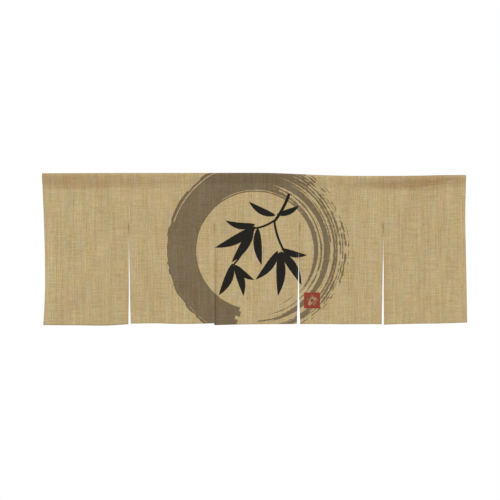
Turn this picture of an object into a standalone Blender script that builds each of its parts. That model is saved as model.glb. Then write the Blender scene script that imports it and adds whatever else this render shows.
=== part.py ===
"""A five-panel noren: short split curtain of slubbed cloth, hanging from a sewn sleeve along its top.

Each panel has its own length of the sleeve, its heading: the panel's top edge turned over and stitched down.

Metres, +Z up. The origin is the middle of the top edge, +X runs along the width to the viewer's right,
and the front of the cloth faces -Y. The tables below are in millimetres.
"""

from collections import namedtuple
from math import acos, asin, cos, exp, pi, sin

import bmesh
import bpy
import numpy as np
from mathutils import Vector

MM = 0.001

# Cloth
CLOTH_THICK = 1.5
HEM_THICK = 2.8
SIDE_HEM = 10.0
BOTTOM_HEM = 25.0
HEM_STEP = 1.5  # width over which a turned hem gets thinner
PIECE_GAP = 0.3  # between a heading and its panel, and between neighbours at a seam

# Sleeve: a soft teardrop, round over the rod's place and drawn together at the stitch line
SLEEVE_LEFT = -849.3
SLEEVE_RIGHT = 849.6
STITCHED_HEIGHT = 5.0  # solid cloth above the stitch line
STITCHED_THICK = 2 * CLOTH_THICK
INNER_TIP_WIDTH = 0.8
HEADING_STATIONS = 9
ARC_POINTS = 11
FLANK_POINTS = 3  # on each side, between the arc and the tip

# Panels
SLEEVE_FOOT = -43.0  # about where the panels start, under the sleeve
SLIT_TOP = -200.0  # the seams between the panels end here
HEM_LEVEL = -605.0  # the panels' usual length, from the top edge
PANEL_COLUMNS = 14
PANEL_ROWS = 21

Level = namedtuple("Level", "across height")
TOP_EDGE = [
    Level(-850, -1.8),
    Level(-620, -0.8),
    Level(-360, -0.4),
    Level(-120, -0.1),
    Level(0, 0.0),
    Level(70, -0.7),
    Level(150, -3.8),
    Level(270, -9.0),
    Level(370, -11.6),
    Level(500, -12.3),
    Level(640, -11.5),
    Level(780, -8.9),
    Level(850, -8.5),
]

SleeveStation = namedtuple("SleeveStation", "across drop open_depth")
SLEEVE_SHAPE = [
    SleeveStation(-850, 43, 20),
    SleeveStation(-620, 43, 17),
    SleeveStation(-250, 43, 15),
    SleeveStation(120, 43, 16),
    SleeveStation(420, 43, 18),
    SleeveStation(650, 44, 21),
    SleeveStation(850, 43, 17),
]

# The outer side edges of the first and the last panel, which bow with the cloth
SideEdge = namedtuple("SideEdge", "height across")
LEFT_SIDE = [
    SideEdge(-605, -842.4),
    SideEdge(-509, -837.2),
    SideEdge(-389, -836.0),
    SideEdge(-270, -838.4),
    SideEdge(-150, -842.4),
    SideEdge(-43, -847.6),
]
RIGHT_SIDE = [
    SideEdge(-605, 852.6),
    SideEdge(-509, 851.6),
    SideEdge(-329, 848.4),
    SideEdge(-190, 845.6),
    SideEdge(-110, 846.6),
    SideEdge(-43, 849.0),
]

# A slit: its seam's place, how far its line strays by the hem and how early, and how it gapes.
# A gap below zero is an overlap.
Slit = namedtuple("Slit", "seam stray early gap_at_hem gapes_at flare")
SLITS = [
    Slit(seam=-502.0, stray=4.2, early=1.5, gap_at_hem=10.4, gapes_at=-265, flare=1.7),
    Slit(seam=-158.0, stray=0.9, early=1.0, gap_at_hem=-3.8, gapes_at=-330, flare=1.0),
    Slit(seam=183.2, stray=-5.2, early=4.0, gap_at_hem=12.0, gapes_at=-389, flare=1.3),
    Slit(seam=518.0, stray=-2.6, early=1.0, gap_at_hem=8.8, gapes_at=-300, flare=1.1),
]

# Each panel's hem line, as heights at shares of its width, and how far its free edges swing
# to the back (above zero) or the front by the hem
Hem = namedtuple("Hem", "share height")
Panel = namedtuple("Panel", "name hem left_swing right_swing")
PANELS = [
    Panel("panel_1", [Hem(0, -608.8), Hem(0.45, -610.2), Hem(0.8, -610.4), Hem(1, -606.0)], -3.0, 2.5),
    Panel("panel_2", [Hem(0, -603.4), Hem(0.3, -602.4), Hem(0.57, -604.6), Hem(1, -601.8)], -1.5, -6.0),
    Panel("panel_3", [Hem(0, -609.4), Hem(0.35, -606.8), Hem(0.7, -605.2), Hem(1, -604.6)], 3.0, -2.0),
    Panel("panel_4", [Hem(0, -605.4), Hem(0.5, -605.6), Hem(1, -605.4)], 2.0, -4.0),
    Panel("panel_5", [Hem(0, -608.0), Hem(0.2, -605.4), Hem(0.65, -602.6), Hem(1, -598.9)], 2.5, -2.0),
]
SWING_REACH = 60.0  # how far in from a free edge its swing is felt
SWUNG_BY = -420.0  # the height where an edge has its full swing

# Soft folds down the cloth. A depth above zero lies back, one below zero comes forward.
Fold = namedtuple("Fold", "across lean width depth starts")
FOLDS = [
    Fold(across=-805, lean=0.02, width=38, depth=-4.0, starts=-150),
    Fold(across=-732, lean=-0.03, width=44, depth=5.0, starts=-110),
    Fold(across=-625, lean=0.05, width=70, depth=-4.5, starts=-70),
    Fold(across=-404, lean=-0.04, width=52, depth=5.5, starts=-180),
    Fold(across=-280, lean=0.06, width=75, depth=-4.0, starts=-90),
    Fold(across=-90, lean=-0.05, width=60, depth=3.0, starts=-120),
    Fold(across=25, lean=0.04, width=80, depth=-4.5, starts=-60),
    Fold(across=255, lean=-0.06, width=60, depth=4.5, starts=-100),
    Fold(across=380, lean=0.03, width=70, depth=-3.5, starts=-80),
    Fold(across=545, lean=-0.05, width=42, depth=4.5, starts=-130),
    Fold(across=612, lean=0.02, width=34, depth=-2.5, starts=-200),
    Fold(across=668, lean=-0.02, width=34, depth=4.5, starts=-170),
    Fold(across=770, lean=0.04, width=62, depth=-5.0, starts=-70),
]


def smooth_through(rows, at):
    """The value at `at` of a smooth line through rows of (place, value)."""
    places, values = zip(*rows)
    slopes = np.gradient(values, places)
    i = min(max(int(np.searchsorted(places, at)) - 1, 0), len(places) - 2)
    span = places[i + 1] - places[i]
    t = min(max((at - places[i]) / span, 0.0), 1.0)
    start = values[i] * (1 + 2 * t) + slopes[i] * span * t
    end = values[i + 1] * (3 - 2 * t) - slopes[i + 1] * span * (1 - t)
    return start * (1 - t) ** 2 + end * t**2


def eased(t):
    """0 to 1, flat at both ends."""
    t = min(max(t, 0.0), 1.0)
    return t * t * (3 - 2 * t)


def below(start, height, end=HEM_LEVEL):
    """How far `height` is on the way down from `start` to `end`, from 0 to 1."""
    return min(max((start - height) / (start - end), 0.0), 1.0)


def top_edge(across):
    return smooth_through(TOP_EDGE, across)


def stitch_line(across):
    drop = smooth_through([(row.across, row.drop) for row in SLEEVE_SHAPE], across)
    return top_edge(across) - drop


def slit_edges(slit, height):
    """Where the cloth left and right of a slit ends at this height."""
    line = slit.seam + slit.stray * (1 - (1 - below(SLIT_TOP, height)) ** slit.early)
    gap = PIECE_GAP + slit.gap_at_hem * below(slit.gapes_at, height) ** slit.flare
    return line - gap / 2, line + gap / 2


def panel_sides(number, height):
    """The left and right edge of a panel at this height."""
    if number == 0:
        left = smooth_through(LEFT_SIDE, height)
    else:
        left = slit_edges(SLITS[number - 1], height)[1]
    if number == len(PANELS) - 1:
        right = smooth_through(RIGHT_SIDE, height)
    else:
        right = slit_edges(SLITS[number], height)[0]
    return left, right


def cloth_depth(panel, from_left, from_right, across, height):
    """How far back the cloth's front lies here: its soft folds and the swing of its free edges."""
    depth = 0.0
    for fold in FOLDS:
        middle = fold.across + fold.lean * (height - fold.starts)
        grown = eased(below(fold.starts, height))
        depth += fold.depth * grown * exp(-(((across - middle) / fold.width) ** 2))
    freed = eased(below(SLIT_TOP, height, SWUNG_BY))
    for swing, distance in ((panel.left_swing, from_left), (panel.right_swing, from_right)):
        depth += swing * freed * exp(-((distance / SWING_REACH) ** 2))
    return depth - CLOTH_THICK


def column_lines(number, height):
    """Where a panel's upright grid lines lie at this height: hem lines at both sides, even steps between."""
    left, right = panel_sides(number, height)
    inset = SIDE_HEM + HEM_STEP
    plain = np.linspace(left + inset, right - inset, PANEL_COLUMNS + 1)
    return [left, left + SIDE_HEM, *plain, right - SIDE_HEM, right]


def row_lines(top, hem):
    """The heights of a panel's level grid lines: even steps down to the hem's two lines."""
    plain = np.linspace(top, hem + BOTTOM_HEM + HEM_STEP, PANEL_ROWS + 1)
    return [*plain, hem + BOTTOM_HEM, hem]


def panel_point(number, column, row):
    """A grid point of the panel's front, as (across, depth, height)."""
    panel = PANELS[number]
    at_top = column_lines(number, SLEEVE_FOOT)
    share = (at_top[column] - at_top[0]) / (at_top[-1] - at_top[0])
    top = stitch_line(at_top[column]) - PIECE_GAP
    height = row_lines(top, smooth_through(panel.hem, share))[row]
    lines = column_lines(number, height)
    across = lines[column]
    depth = cloth_depth(panel, across - lines[0], lines[-1] - across, across, height)
    return across, depth, height


def cloth_material(name, color):
    """Matt slubbed cloth."""
    material = bpy.data.materials.new(name)
    material.use_nodes = True
    shader = material.node_tree.nodes["Principled BSDF"]
    shader.inputs["Base Color"].default_value = (*color, 1.0)
    shader.inputs["Roughness"].default_value = 0.9
    shader.inputs["Metallic"].default_value = 0.0
    material.diffuse_color = (*color, 1.0)
    return material


def hemmed_panel(number, parts, material):
    """A cloth panel: a grid laid on its outline and folds, given its thickness towards the back."""
    columns = len(column_lines(number, SLEEVE_FOOT)) - 1
    rows = len(row_lines(SLEEVE_FOOT, HEM_LEVEL)) - 1
    bpy.ops.mesh.primitive_grid_add(x_subdivisions=columns, y_subdivisions=rows, size=2.0)
    obj = bpy.context.object
    obj.name = PANELS[number].name
    obj.data.name = PANELS[number].name
    hem_group = obj.vertex_groups.new(name="hem")
    plain_weight = CLOTH_THICK / HEM_THICK
    # The grid's own points are -1 to 1 both ways, and the panel stands, with its front facing -Y.
    for vertex in obj.data.vertices:
        column = round((vertex.co.x + 1) / 2 * columns)
        row = round((1 - vertex.co.y) / 2 * rows)
        vertex.co = Vector(panel_point(number, column, row)) * MM
        in_hem = column <= 1 or column >= columns - 1 or row >= rows - 1
        hem_group.add([vertex.index], 1.0 if in_hem else plain_weight, "REPLACE")
    thickness = obj.modifiers.new("cloth", "SOLIDIFY")
    thickness.thickness = HEM_THICK * MM
    thickness.offset = -1.0
    thickness.vertex_group = hem_group.name
    obj.data.materials.append(material)
    for collection in list(obj.users_collection):
        collection.objects.unlink(obj)
    parts.objects.link(obj)
    return obj


def teardrop(radius, tip_width, drop):
    """Points round a teardrop, from the tip's front corner up over the top to its back corner.

    They are (depth, height) from the arc's centre, with the tip `drop` below it.
    """
    half = tip_width / 2
    # The flank is the tangent from a corner of the tip to the arc.
    reach = (half**2 + drop**2) ** 0.5
    tilt = acos(radius / reach) + asin(half / reach)
    arc = [-pi / 2 - tilt - (2 * pi - 2 * tilt) * i / (ARC_POINTS - 1) for i in range(ARC_POINTS)]
    rounded = [(radius * cos(angle), radius * sin(angle)) for angle in arc]
    front = [
        (
            -half + (rounded[0][0] + half) * i / FLANK_POINTS,
            -drop + (rounded[0][1] + drop) * i / FLANK_POINTS,
        )
        for i in range(FLANK_POINTS)
    ]
    back = [(-depth, height) for depth, height in reversed(front)]
    return front + rounded + back


def heading_ends(number):
    """The left and right end of a panel's heading. The outer two reach the sleeve's open ends."""
    left, right = panel_sides(number, SLEEVE_FOOT)
    if number == 0:
        left = SLEEVE_LEFT
    if number == len(PANELS) - 1:
        right = SLEEVE_RIGHT
    return left, right


def turned_heading(number, parts, material):
    """A panel's length of the rod sleeve: a loft of teardrops along the top edge, open at both ends."""
    mesh = bmesh.new()
    openness = [(row.across, row.open_depth) for row in SLEEVE_SHAPE]
    outers, inners = [], []
    for across in np.linspace(*heading_ends(number), HEADING_STATIONS):
        radius = smooth_through(openness, across) / 2
        centre = top_edge(across) - radius - CLOTH_THICK
        drop = centre - stitch_line(across)
        outer = teardrop(radius + CLOTH_THICK, STITCHED_THICK, drop)
        inner = teardrop(radius, INNER_TIP_WIDTH, drop - STITCHED_HEIGHT)
        for rings, outline in ((outers, outer), (inners, inner)):
            points = [(across * MM, depth * MM, (centre + height) * MM) for depth, height in outline]
            rings.append([mesh.verts.new(point) for point in points])
    count = len(outers[0])
    for rings in (outers, inners):
        for near, far in zip(rings, rings[1:]):
            for i in range(count):
                mesh.faces.new((near[i], near[i - 1], far[i - 1], far[i]))
    for outer, inner in ((outers[0], inners[0]), (outers[-1], inners[-1])):
        for i in range(count):
            mesh.faces.new((outer[i], outer[i - 1], inner[i - 1], inner[i]))
    bmesh.ops.recalc_face_normals(mesh, faces=mesh.faces)
    name = "heading_" + str(number + 1)
    data = bpy.data.meshes.new(name)
    mesh.to_mesh(data)
    mesh.free()
    obj = bpy.data.objects.new(name, data)
    obj.data.materials.append(material)
    parts.objects.link(obj)
    return obj


for old in list(bpy.data.objects):
    bpy.data.objects.remove(old, do_unlink=True)
noren = bpy.data.collections.new("noren_curtain")
bpy.context.scene.collection.children.link(noren)

for index, panel in enumerate(PANELS):
    turned_heading(index, noren, cloth_material("heading_cloth_" + str(index + 1), (0.418, 0.314, 0.165)))
    hemmed_panel(index, noren, cloth_material(panel.name + "_cloth", (0.485, 0.376, 0.202)))
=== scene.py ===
from collections import namedtuple
from math import pi, radians

import bpy
import numpy as np
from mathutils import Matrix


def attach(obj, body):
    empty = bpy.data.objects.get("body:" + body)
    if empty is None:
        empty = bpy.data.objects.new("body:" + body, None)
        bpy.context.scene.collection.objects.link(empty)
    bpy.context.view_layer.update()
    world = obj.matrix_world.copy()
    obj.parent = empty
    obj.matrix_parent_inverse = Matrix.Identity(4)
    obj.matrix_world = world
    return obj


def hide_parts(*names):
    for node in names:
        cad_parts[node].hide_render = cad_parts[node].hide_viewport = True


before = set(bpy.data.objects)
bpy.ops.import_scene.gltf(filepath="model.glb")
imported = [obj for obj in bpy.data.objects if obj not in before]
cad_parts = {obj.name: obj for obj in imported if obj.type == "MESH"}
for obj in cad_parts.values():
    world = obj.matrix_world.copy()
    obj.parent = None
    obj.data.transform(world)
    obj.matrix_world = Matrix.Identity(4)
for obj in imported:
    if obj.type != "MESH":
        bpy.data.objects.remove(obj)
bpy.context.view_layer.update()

# The two plain outer panels, of slubbed plain weave. Each is turned over at its top and stitched down
# as its length of the rod sleeve, hemmed at its sides and foot, and seamed to its neighbour for the
# top 200 mm. The tables are in millimetres and hold all five panels, because neighbours share a slit.
MM = 0.001
CLOTH_THICK = 0.9
HEM_THICK = 2.0
SIDE_HEM = 10.0
BOTTOM_HEM = 25.0
HEM_STEP = 0.7
TURNED_ROUND = 0.4  # radius of a turned edge
FRONT_FACE = -1.5  # depth of the hanging cloth's front, before its folds
BACK_FACE = 1.5  # depth of the turned-over cloth's outer face at the stitch line
TURNED_INSET = 0.6  # the turned-over cloth's ends stay this far behind the panel's sides
SLEEVE_LEFT = -846.8
SLEEVE_RIGHT = 847.1
SLEEVE_FOOT = -43.0
TURNED_FOOT = -64.0
SLIT_TOP = -200.0
HEM_LEVEL = -605.0
SWING_REACH = 60.0
SWUNG_BY = -420.0

Level = namedtuple("Level", "across height")
TOP_EDGE = [
    Level(-850, -1.8),
    Level(-620, -0.8),
    Level(-360, -0.4),
    Level(-120, -0.1),
    Level(0, 0.0),
    Level(70, -0.7),
    Level(150, -3.8),
    Level(270, -9.0),
    Level(370, -11.6),
    Level(500, -12.3),
    Level(640, -11.5),
    Level(780, -8.9),
    Level(850, -8.5),
]

SleeveStation = namedtuple("SleeveStation", "across drop outer_depth")
SLEEVE_SHAPE = [
    SleeveStation(-850, 43, 23),
    SleeveStation(-620, 43, 20),
    SleeveStation(-250, 43, 18),
    SleeveStation(120, 43, 19),
    SleeveStation(420, 43, 21),
    SleeveStation(650, 44, 24),
    SleeveStation(850, 43, 20),
]

SideEdge = namedtuple("SideEdge", "height across")
LEFT_SIDE = [
    SideEdge(-605, -841.8),
    SideEdge(-509, -836.5),
    SideEdge(-389, -835.4),
    SideEdge(-270, -837.8),
    SideEdge(-150, -841.9),
    SideEdge(-43, -846.4),
]
RIGHT_SIDE = [
    SideEdge(-605, 852.3),
    SideEdge(-509, 850.8),
    SideEdge(-329, 847.6),
    SideEdge(-190, 845.1),
    SideEdge(-110, 845.8),
    SideEdge(-43, 848.0),
]

# A slit: its seam's place, how far its line strays by the hem and how early, and how wide it gapes at
# each level. Where a gap is below zero the panels overlap, by a hair in the seam above the slit.
Slit = namedtuple("Slit", "seam stray early gaps")
GAP_LEVELS = [-605, -560, -510, -450, -390, -330, -270, -235, -200]
SLITS = [
    Slit(-502.0, 4.2, 1.5, [9.6, 8.0, 5.8, 4.4, 3.6, 2.1, 0.8, 0.15, -0.5]),
    Slit(-158.0, 0.9, 1.0, [-3.8, -3.2, -2.5, -1.7, -1.0, -0.6, -0.5, -0.5, -0.5]),
    Slit(183.2, -5.2, 4.0, [13.4, 10.4, 7.0, 4.2, 2.0, 0.6, 0.1, -0.2, -0.5]),
    Slit(518.0, -2.6, 1.0, [9.3, 8.6, 6.8, 6.0, 5.0, 2.2, 0.9, 0.2, -0.5]),
]

Hem = namedtuple("Hem", "share height")
# A panel: its foot, how far each free side swings back (below zero: forward), how much painted shade
# darkens each turned side where it swings back or lies in its neighbour's shadow (below zero: painted
# light), and how much painted shade darkens the foot's turned edge
Panel = namedtuple("Panel", "number hem left_swing right_swing left_tone right_tone foot_shade")
PANELS = [
    Panel(
        number=1,
        hem=[Hem(0, -608.8), Hem(0.45, -610.2), Hem(0.8, -610.4), Hem(1, -606.0)],
        left_swing=-3.0,
        right_swing=2.5,
        left_tone=0.0,
        right_tone=0.0,
        foot_shade=0.30,
    ),
    Panel(
        number=2,
        hem=[Hem(0, -603.4), Hem(0.3, -602.4), Hem(0.57, -604.6), Hem(1, -601.8)],
        left_swing=-1.5,
        right_swing=-3.5,
        left_tone=0.0,
        right_tone=-0.3,
        foot_shade=0.12,
    ),
    Panel(
        number=3,
        hem=[Hem(0, -609.4), Hem(0.35, -606.8), Hem(0.7, -605.2), Hem(1, -604.6)],
        left_swing=1.5,
        right_swing=-2.0,
        left_tone=0.9,
        right_tone=0.1,
        foot_shade=0.12,
    ),
    Panel(
        number=4,
        hem=[Hem(0, -605.4), Hem(0.5, -605.6), Hem(1, -605.4)],
        left_swing=2.0,
        right_swing=-4.0,
        left_tone=0.1,
        right_tone=0.1,
        foot_shade=0.12,
    ),
    Panel(
        number=5,
        hem=[Hem(0, -608.0), Hem(0.2, -605.4), Hem(0.65, -602.6), Hem(1, -598.9)],
        left_swing=2.5,
        right_swing=-2.0,
        left_tone=0.7,
        right_tone=0.0,
        foot_shade=0.13,
    ),
]

# Soft folds down the cloth: where each starts, how far it leans as it falls, and its width and depth. A
# depth above zero lies back, one below zero comes forward.
Fold = namedtuple("Fold", "across lean width depth starts")
FOLDS = [
    Fold(-805, 0.02, 38, -4.0, -150),
    Fold(-732, -0.03, 44, 5.0, -110),
    Fold(-625, 0.05, 70, -4.5, -70),
    Fold(-404, -0.04, 52, 5.5, -180),
    Fold(-280, 0.06, 75, -4.0, -90),
    Fold(-90, -0.05, 60, 3.0, -120),
    Fold(25, 0.04, 80, -4.5, -60),
    Fold(255, -0.06, 60, 4.5, -100),
    Fold(380, 0.03, 70, -3.5, -80),
    Fold(545, -0.05, 42, 4.5, -130),
    Fold(612, 0.02, 34, -2.5, -200),
    Fold(668, -0.02, 34, 4.5, -170),
    Fold(770, 0.04, 62, -5.0, -70),
]

# Small creases, each a soft trough (depth above zero) or ridge from one place to another
Crease = namedtuple("Crease", "across height to_across to_height reach depth")
CREASES = [
    Crease(430, -47, 560, -47, 5, 1.5),
    Crease(560, -47, 700, -40, 6, 1.5),
    Crease(700, -40, 790, -30, 6, 1.1),
    Crease(676, -62, 706, -40, 6, 1.2),
    Crease(560, -66, 640, -62, 7, 0.7),
    Crease(-832, -76, -748, -75, 9, -1.1),
    Crease(-846, -43, -795, -43, 3, -0.5),
    Crease(-800, -24, -640, -27, 7, 0.6),
    Crease(-700, -52, -688, -110, 9, 0.7),
    Crease(-560, -50, -566, -96, 8, -0.6),
    Crease(-455, -48, -448, -120, 10, 0.6),
    Crease(-330, -48, -338, -92, 8, -0.6),
    Crease(-215, -47, -206, -105, 9, 0.6),
    Crease(-60, -47, -66, -90, 8, 0.5),
    Crease(95, -52, 104, -100, 9, -0.6),
    Crease(300, -56, 292, -120, 9, 0.6),
    Crease(455, -58, 462, -112, 10, -0.6),
    Crease(640, -60, 650, -140, 9, 0.8),
    Crease(790, -58, 782, -110, 9, 0.6),
]

# Where the turned-over cloth lies behind the panel less light comes through, so it looks darker and
# redder. Low in the sleeve, where its front flank faces down, painted shade is laid on top of that. The
# columns: how dark at the crest, low in the sleeve (doubled cloth with painted shade) and below that, how
# far below the top edge those last two meet, and where it ends and how softly that shows
DoubledAndPaintedShade = namedtuple("DoubledAndPaintedShade", "across crest low tail step foot soft")
DOUBLED_AND_PAINTED_SHADE = [
    DoubledAndPaintedShade(-850, 0.75, 0.95, 0.55, 40, 62, 4),
    DoubledAndPaintedShade(-784, 0.90, 1.00, 0.80, 40, 63, 4),
    DoubledAndPaintedShade(-730, 0.95, 1.05, 1.40, 43, 63, 5),
    DoubledAndPaintedShade(-650, 0.75, 1.05, 1.30, 43, 62, 12),
    DoubledAndPaintedShade(-560, 0.55, 0.95, 1.00, 43, 59, 12),
    DoubledAndPaintedShade(-430, 0.25, 0.80, 0.80, 43, 59, 14),
    DoubledAndPaintedShade(-304, 0.25, 0.50, 0.45, 43, 52, 14),
    DoubledAndPaintedShade(-200, 0.30, 0.35, 0.30, 43, 45, 8),
    DoubledAndPaintedShade(-100, 0.50, 0.60, 0.45, 43, 45, 8),
    DoubledAndPaintedShade(20, 0.55, 0.70, 0.45, 43, 45, 8),
    DoubledAndPaintedShade(100, 0.25, 0.30, 0.25, 43, 45, 8),
    DoubledAndPaintedShade(200, 0.00, 0.20, 0.20, 43, 45, 8),
    DoubledAndPaintedShade(272, -0.10, 0.50, 0.50, 43, 46, 10),
    DoubledAndPaintedShade(368, 0.00, 0.20, 0.35, 43, 48, 10),
    DoubledAndPaintedShade(440, 0.10, 0.80, 0.80, 43, 50, 8),
    DoubledAndPaintedShade(510, 0.45, 1.45, 0.95, 43, 55, 6),
    DoubledAndPaintedShade(580, 0.85, 1.70, 1.05, 43, 58, 5),
    DoubledAndPaintedShade(660, 1.25, 1.70, 1.00, 42, 60, 6),
    DoubledAndPaintedShade(720, 1.25, 2.00, 1.00, 36, 60, 10),
    DoubledAndPaintedShade(764, 1.30, 1.25, 0.35, 32, 54, 12),
    DoubledAndPaintedShade(812, 0.90, 0.90, 0.30, 32, 53, 9),
    DoubledAndPaintedShade(850, 0.80, 0.80, 0.30, 32, 53, 9),
]

# Broad soft patches of painted light (below zero) and painted shade, where the cloth's soft waves and the
# foot of its heading catch the light or lose it
Patch = namedtuple("Patch", "across height reach_across reach_down tone")
PATCHES = [
    Patch(-822, -440, 40, 105, -0.95),
    Patch(-732, -535, 20, 42, 0.75),
    Patch(-690, -110, 110, 42, -0.32),
    Patch(-432, -510, 60, 80, 0.42),
    Patch(484, -175, 50, 75, -0.45),
    Patch(724, -300, 100, 55, 0.25),
    Patch(644, -500, 32, 55, 0.38),
]


def smooth_through(rows, at):
    """The values at `at` of a smooth line through rows of (place, value)."""
    places, values = np.array(rows, float).T
    slopes = np.gradient(values, places)
    i = np.clip(np.searchsorted(places, at) - 1, 0, len(places) - 2)
    span = places[i + 1] - places[i]
    t = np.clip((at - places[i]) / span, 0, 1)
    start = values[i] * (1 + 2 * t) + slopes[i] * span * t
    end = values[i + 1] * (3 - 2 * t) - slopes[i + 1] * span * (1 - t)
    return start * (1 - t) ** 2 + end * t**2


def along_table(table, field, at):
    """One column of a table whose first column is the place across, at `at`."""
    return smooth_through([(row.across, getattr(row, field)) for row in table], at)


def eased(t):
    """0 to 1, flat at both ends."""
    t = np.clip(t, 0, 1)
    return t * t * (3 - 2 * t)


def below(start, height, end=HEM_LEVEL):
    """How far `height` is on the way down from `start` to `end`, from 0 to 1."""
    return np.clip((start - height) / (start - end), 0, 1)


def top_edge(across):
    return along_table(TOP_EDGE, "height", across)


def stitch_line(across):
    return top_edge(across) - along_table(SLEEVE_SHAPE, "drop", across)


def slit_edges(slit, height):
    """Where the cloth left and right of a slit ends at this height. They touch along the seam."""
    line = slit.seam + slit.stray * (1 - (1 - below(SLIT_TOP, height)) ** slit.early)
    gap = smooth_through(list(zip(GAP_LEVELS, slit.gaps)), height)
    return line - gap / 2, line + gap / 2


def panel_sides(panel, height):
    """The left and right edge of a panel at this height, below the sleeve."""
    if panel.number == 1:
        left = smooth_through(LEFT_SIDE, height)
    else:
        left = slit_edges(SLITS[panel.number - 2], height)[1]
    if panel.number == len(PANELS):
        right = smooth_through(RIGHT_SIDE, height)
    else:
        right = slit_edges(SLITS[panel.number - 1], height)[0]
    return left, right


def heading_ends(panel):
    """The left and right end of a panel's heading. The outer two are the sleeve's open ends."""
    left, right = panel_sides(panel, SLEEVE_FOOT)
    if panel.number == 1:
        left = SLEEVE_LEFT
    if panel.number == len(PANELS):
        right = SLEEVE_RIGHT
    return left, right


def crease_depth(across, height):
    """How far the small creases take the cloth's front back or forward."""
    depth = np.zeros(np.broadcast(across, height).shape)
    for crease in CREASES:
        run_across = crease.to_across - crease.across
        run_up = crease.to_height - crease.height
        along = (across - crease.across) * run_across + (height - crease.height) * run_up
        along = np.clip(along / (run_across**2 + run_up**2), 0, 1)
        off = np.hypot(
            across - crease.across - along * run_across, height - crease.height - along * run_up
        )
        depth += crease.depth * np.exp(-((off / crease.reach) ** 2))
    return depth


def front_depth(panel, across, height):
    """How far back the hanging cloth's front lies: folds, creases and the swing of free edges."""
    left, right = panel_sides(panel, height)
    depth = FRONT_FACE + crease_depth(across, height)
    for fold in FOLDS:
        middle = fold.across + fold.lean * (height - fold.starts)
        grown = eased(below(fold.starts, height))
        depth += fold.depth * grown * np.exp(-(((across - middle) / fold.width) ** 2))
    freed = eased(below(SLIT_TOP, height, SWUNG_BY))
    depth += panel.left_swing * freed * np.exp(-(((across - left) / SWING_REACH) ** 2))
    depth += panel.right_swing * freed * np.exp(-(((right - across) / SWING_REACH) ** 2))
    return depth


# A panel's grid. Its upright lines lie at shares of the width, with an inset to the hem lines.
PLAIN_COLUMNS = 80
SIDE_COLUMNS = 2  # in each side hem
steps = np.linspace(0, 1, PLAIN_COLUMNS + 1)
column_share = np.array([0, 0, 0, *steps, 1, 1, 1])
hem_line = SIDE_HEM + HEM_STEP
column_inset = np.array(
    [0, SIDE_HEM / 2, SIDE_HEM, *(hem_line * (1 - 2 * steps)), -SIDE_HEM, -SIDE_HEM / 2, 0]
)
# Its level lines go from the turned-over end up the sleeve's back, over its crest and down the front
TURNING_ROWS = 4
BACK_ROWS = 9
CREST_ROWS = 20
FRONT_ROWS = 10
FRONT_CROWDING = 1.5  # the front's level lines lie closer towards the stitch line
PLAIN_ROWS = 112
HEM_ROWS = 6
turning = np.linspace(0, 1, TURNING_ROWS + 1)[:-1, None]
up_back = np.linspace(0, 1, BACK_ROWS + 1)[:-1, None]
over_crest = np.linspace(0, 1, CREST_ROWS + 1)[:-1, None]
down_front = 1 - np.linspace(1, 0, FRONT_ROWS + 1)[:-1, None] ** FRONT_CROWDING
down_panel = np.linspace(0, 1, PLAIN_ROWS + 1)[:, None]
in_hem = np.linspace(0, 1, HEM_ROWS + 1)[:, None]


def heading_lines(across):
    """The sleeve's level lines at places across, as (depth, height, place along the flat cloth)."""
    radius = along_table(SLEEVE_SHAPE, "outer_depth", across) / 2
    centre = top_edge(across) - radius
    stitched = stitch_line(across)
    drop = centre - stitched
    # The sides of the teardrop run straight from the stitch line to where they meet its round top
    back_run = np.sqrt(BACK_FACE**2 + drop**2 - radius**2)
    back_tilt = np.arctan2(back_run, radius) + np.arctan2(BACK_FACE, drop)
    front_run = np.sqrt(FRONT_FACE**2 + drop**2 - radius**2)
    front_tilt = np.arctan2(front_run, radius) + np.arctan2(-FRONT_FACE, drop)
    foot = top_edge(across) - along_table(DOUBLED_AND_PAINTED_SHADE, "foot", across)
    turn = back_tilt + over_crest * (2 * pi - back_tilt - front_tilt)
    depths = [
        np.full((TURNING_ROWS, len(across)), BACK_FACE),
        BACK_FACE + up_back * (radius * np.sin(back_tilt) - BACK_FACE),
        radius * np.sin(turn),
        FRONT_FACE + (1 - down_front) * (-radius * np.sin(front_tilt) - FRONT_FACE),
    ]
    heights = [
        foot + turning * (stitched - foot),
        stitched + up_back * (centre - radius * np.cos(back_tilt) - stitched),
        centre - radius * np.cos(turn),
        stitched + (1 - down_front) * (centre - radius * np.cos(front_tilt) - stitched),
    ]
    at_front = stitched + front_run
    at_back = at_front + radius * (2 * pi - back_tilt - front_tilt)
    places = [
        at_back + back_run + (1 - turning) * (stitched - foot),
        at_back + (1 - up_back) * back_run,
        at_back + (at_front - at_back) * over_crest,
        stitched + (1 - down_front) * front_run,
    ]
    depth, height, place = (np.concatenate(parts) for parts in (depths, heights, places))
    return depth, height, place


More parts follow.
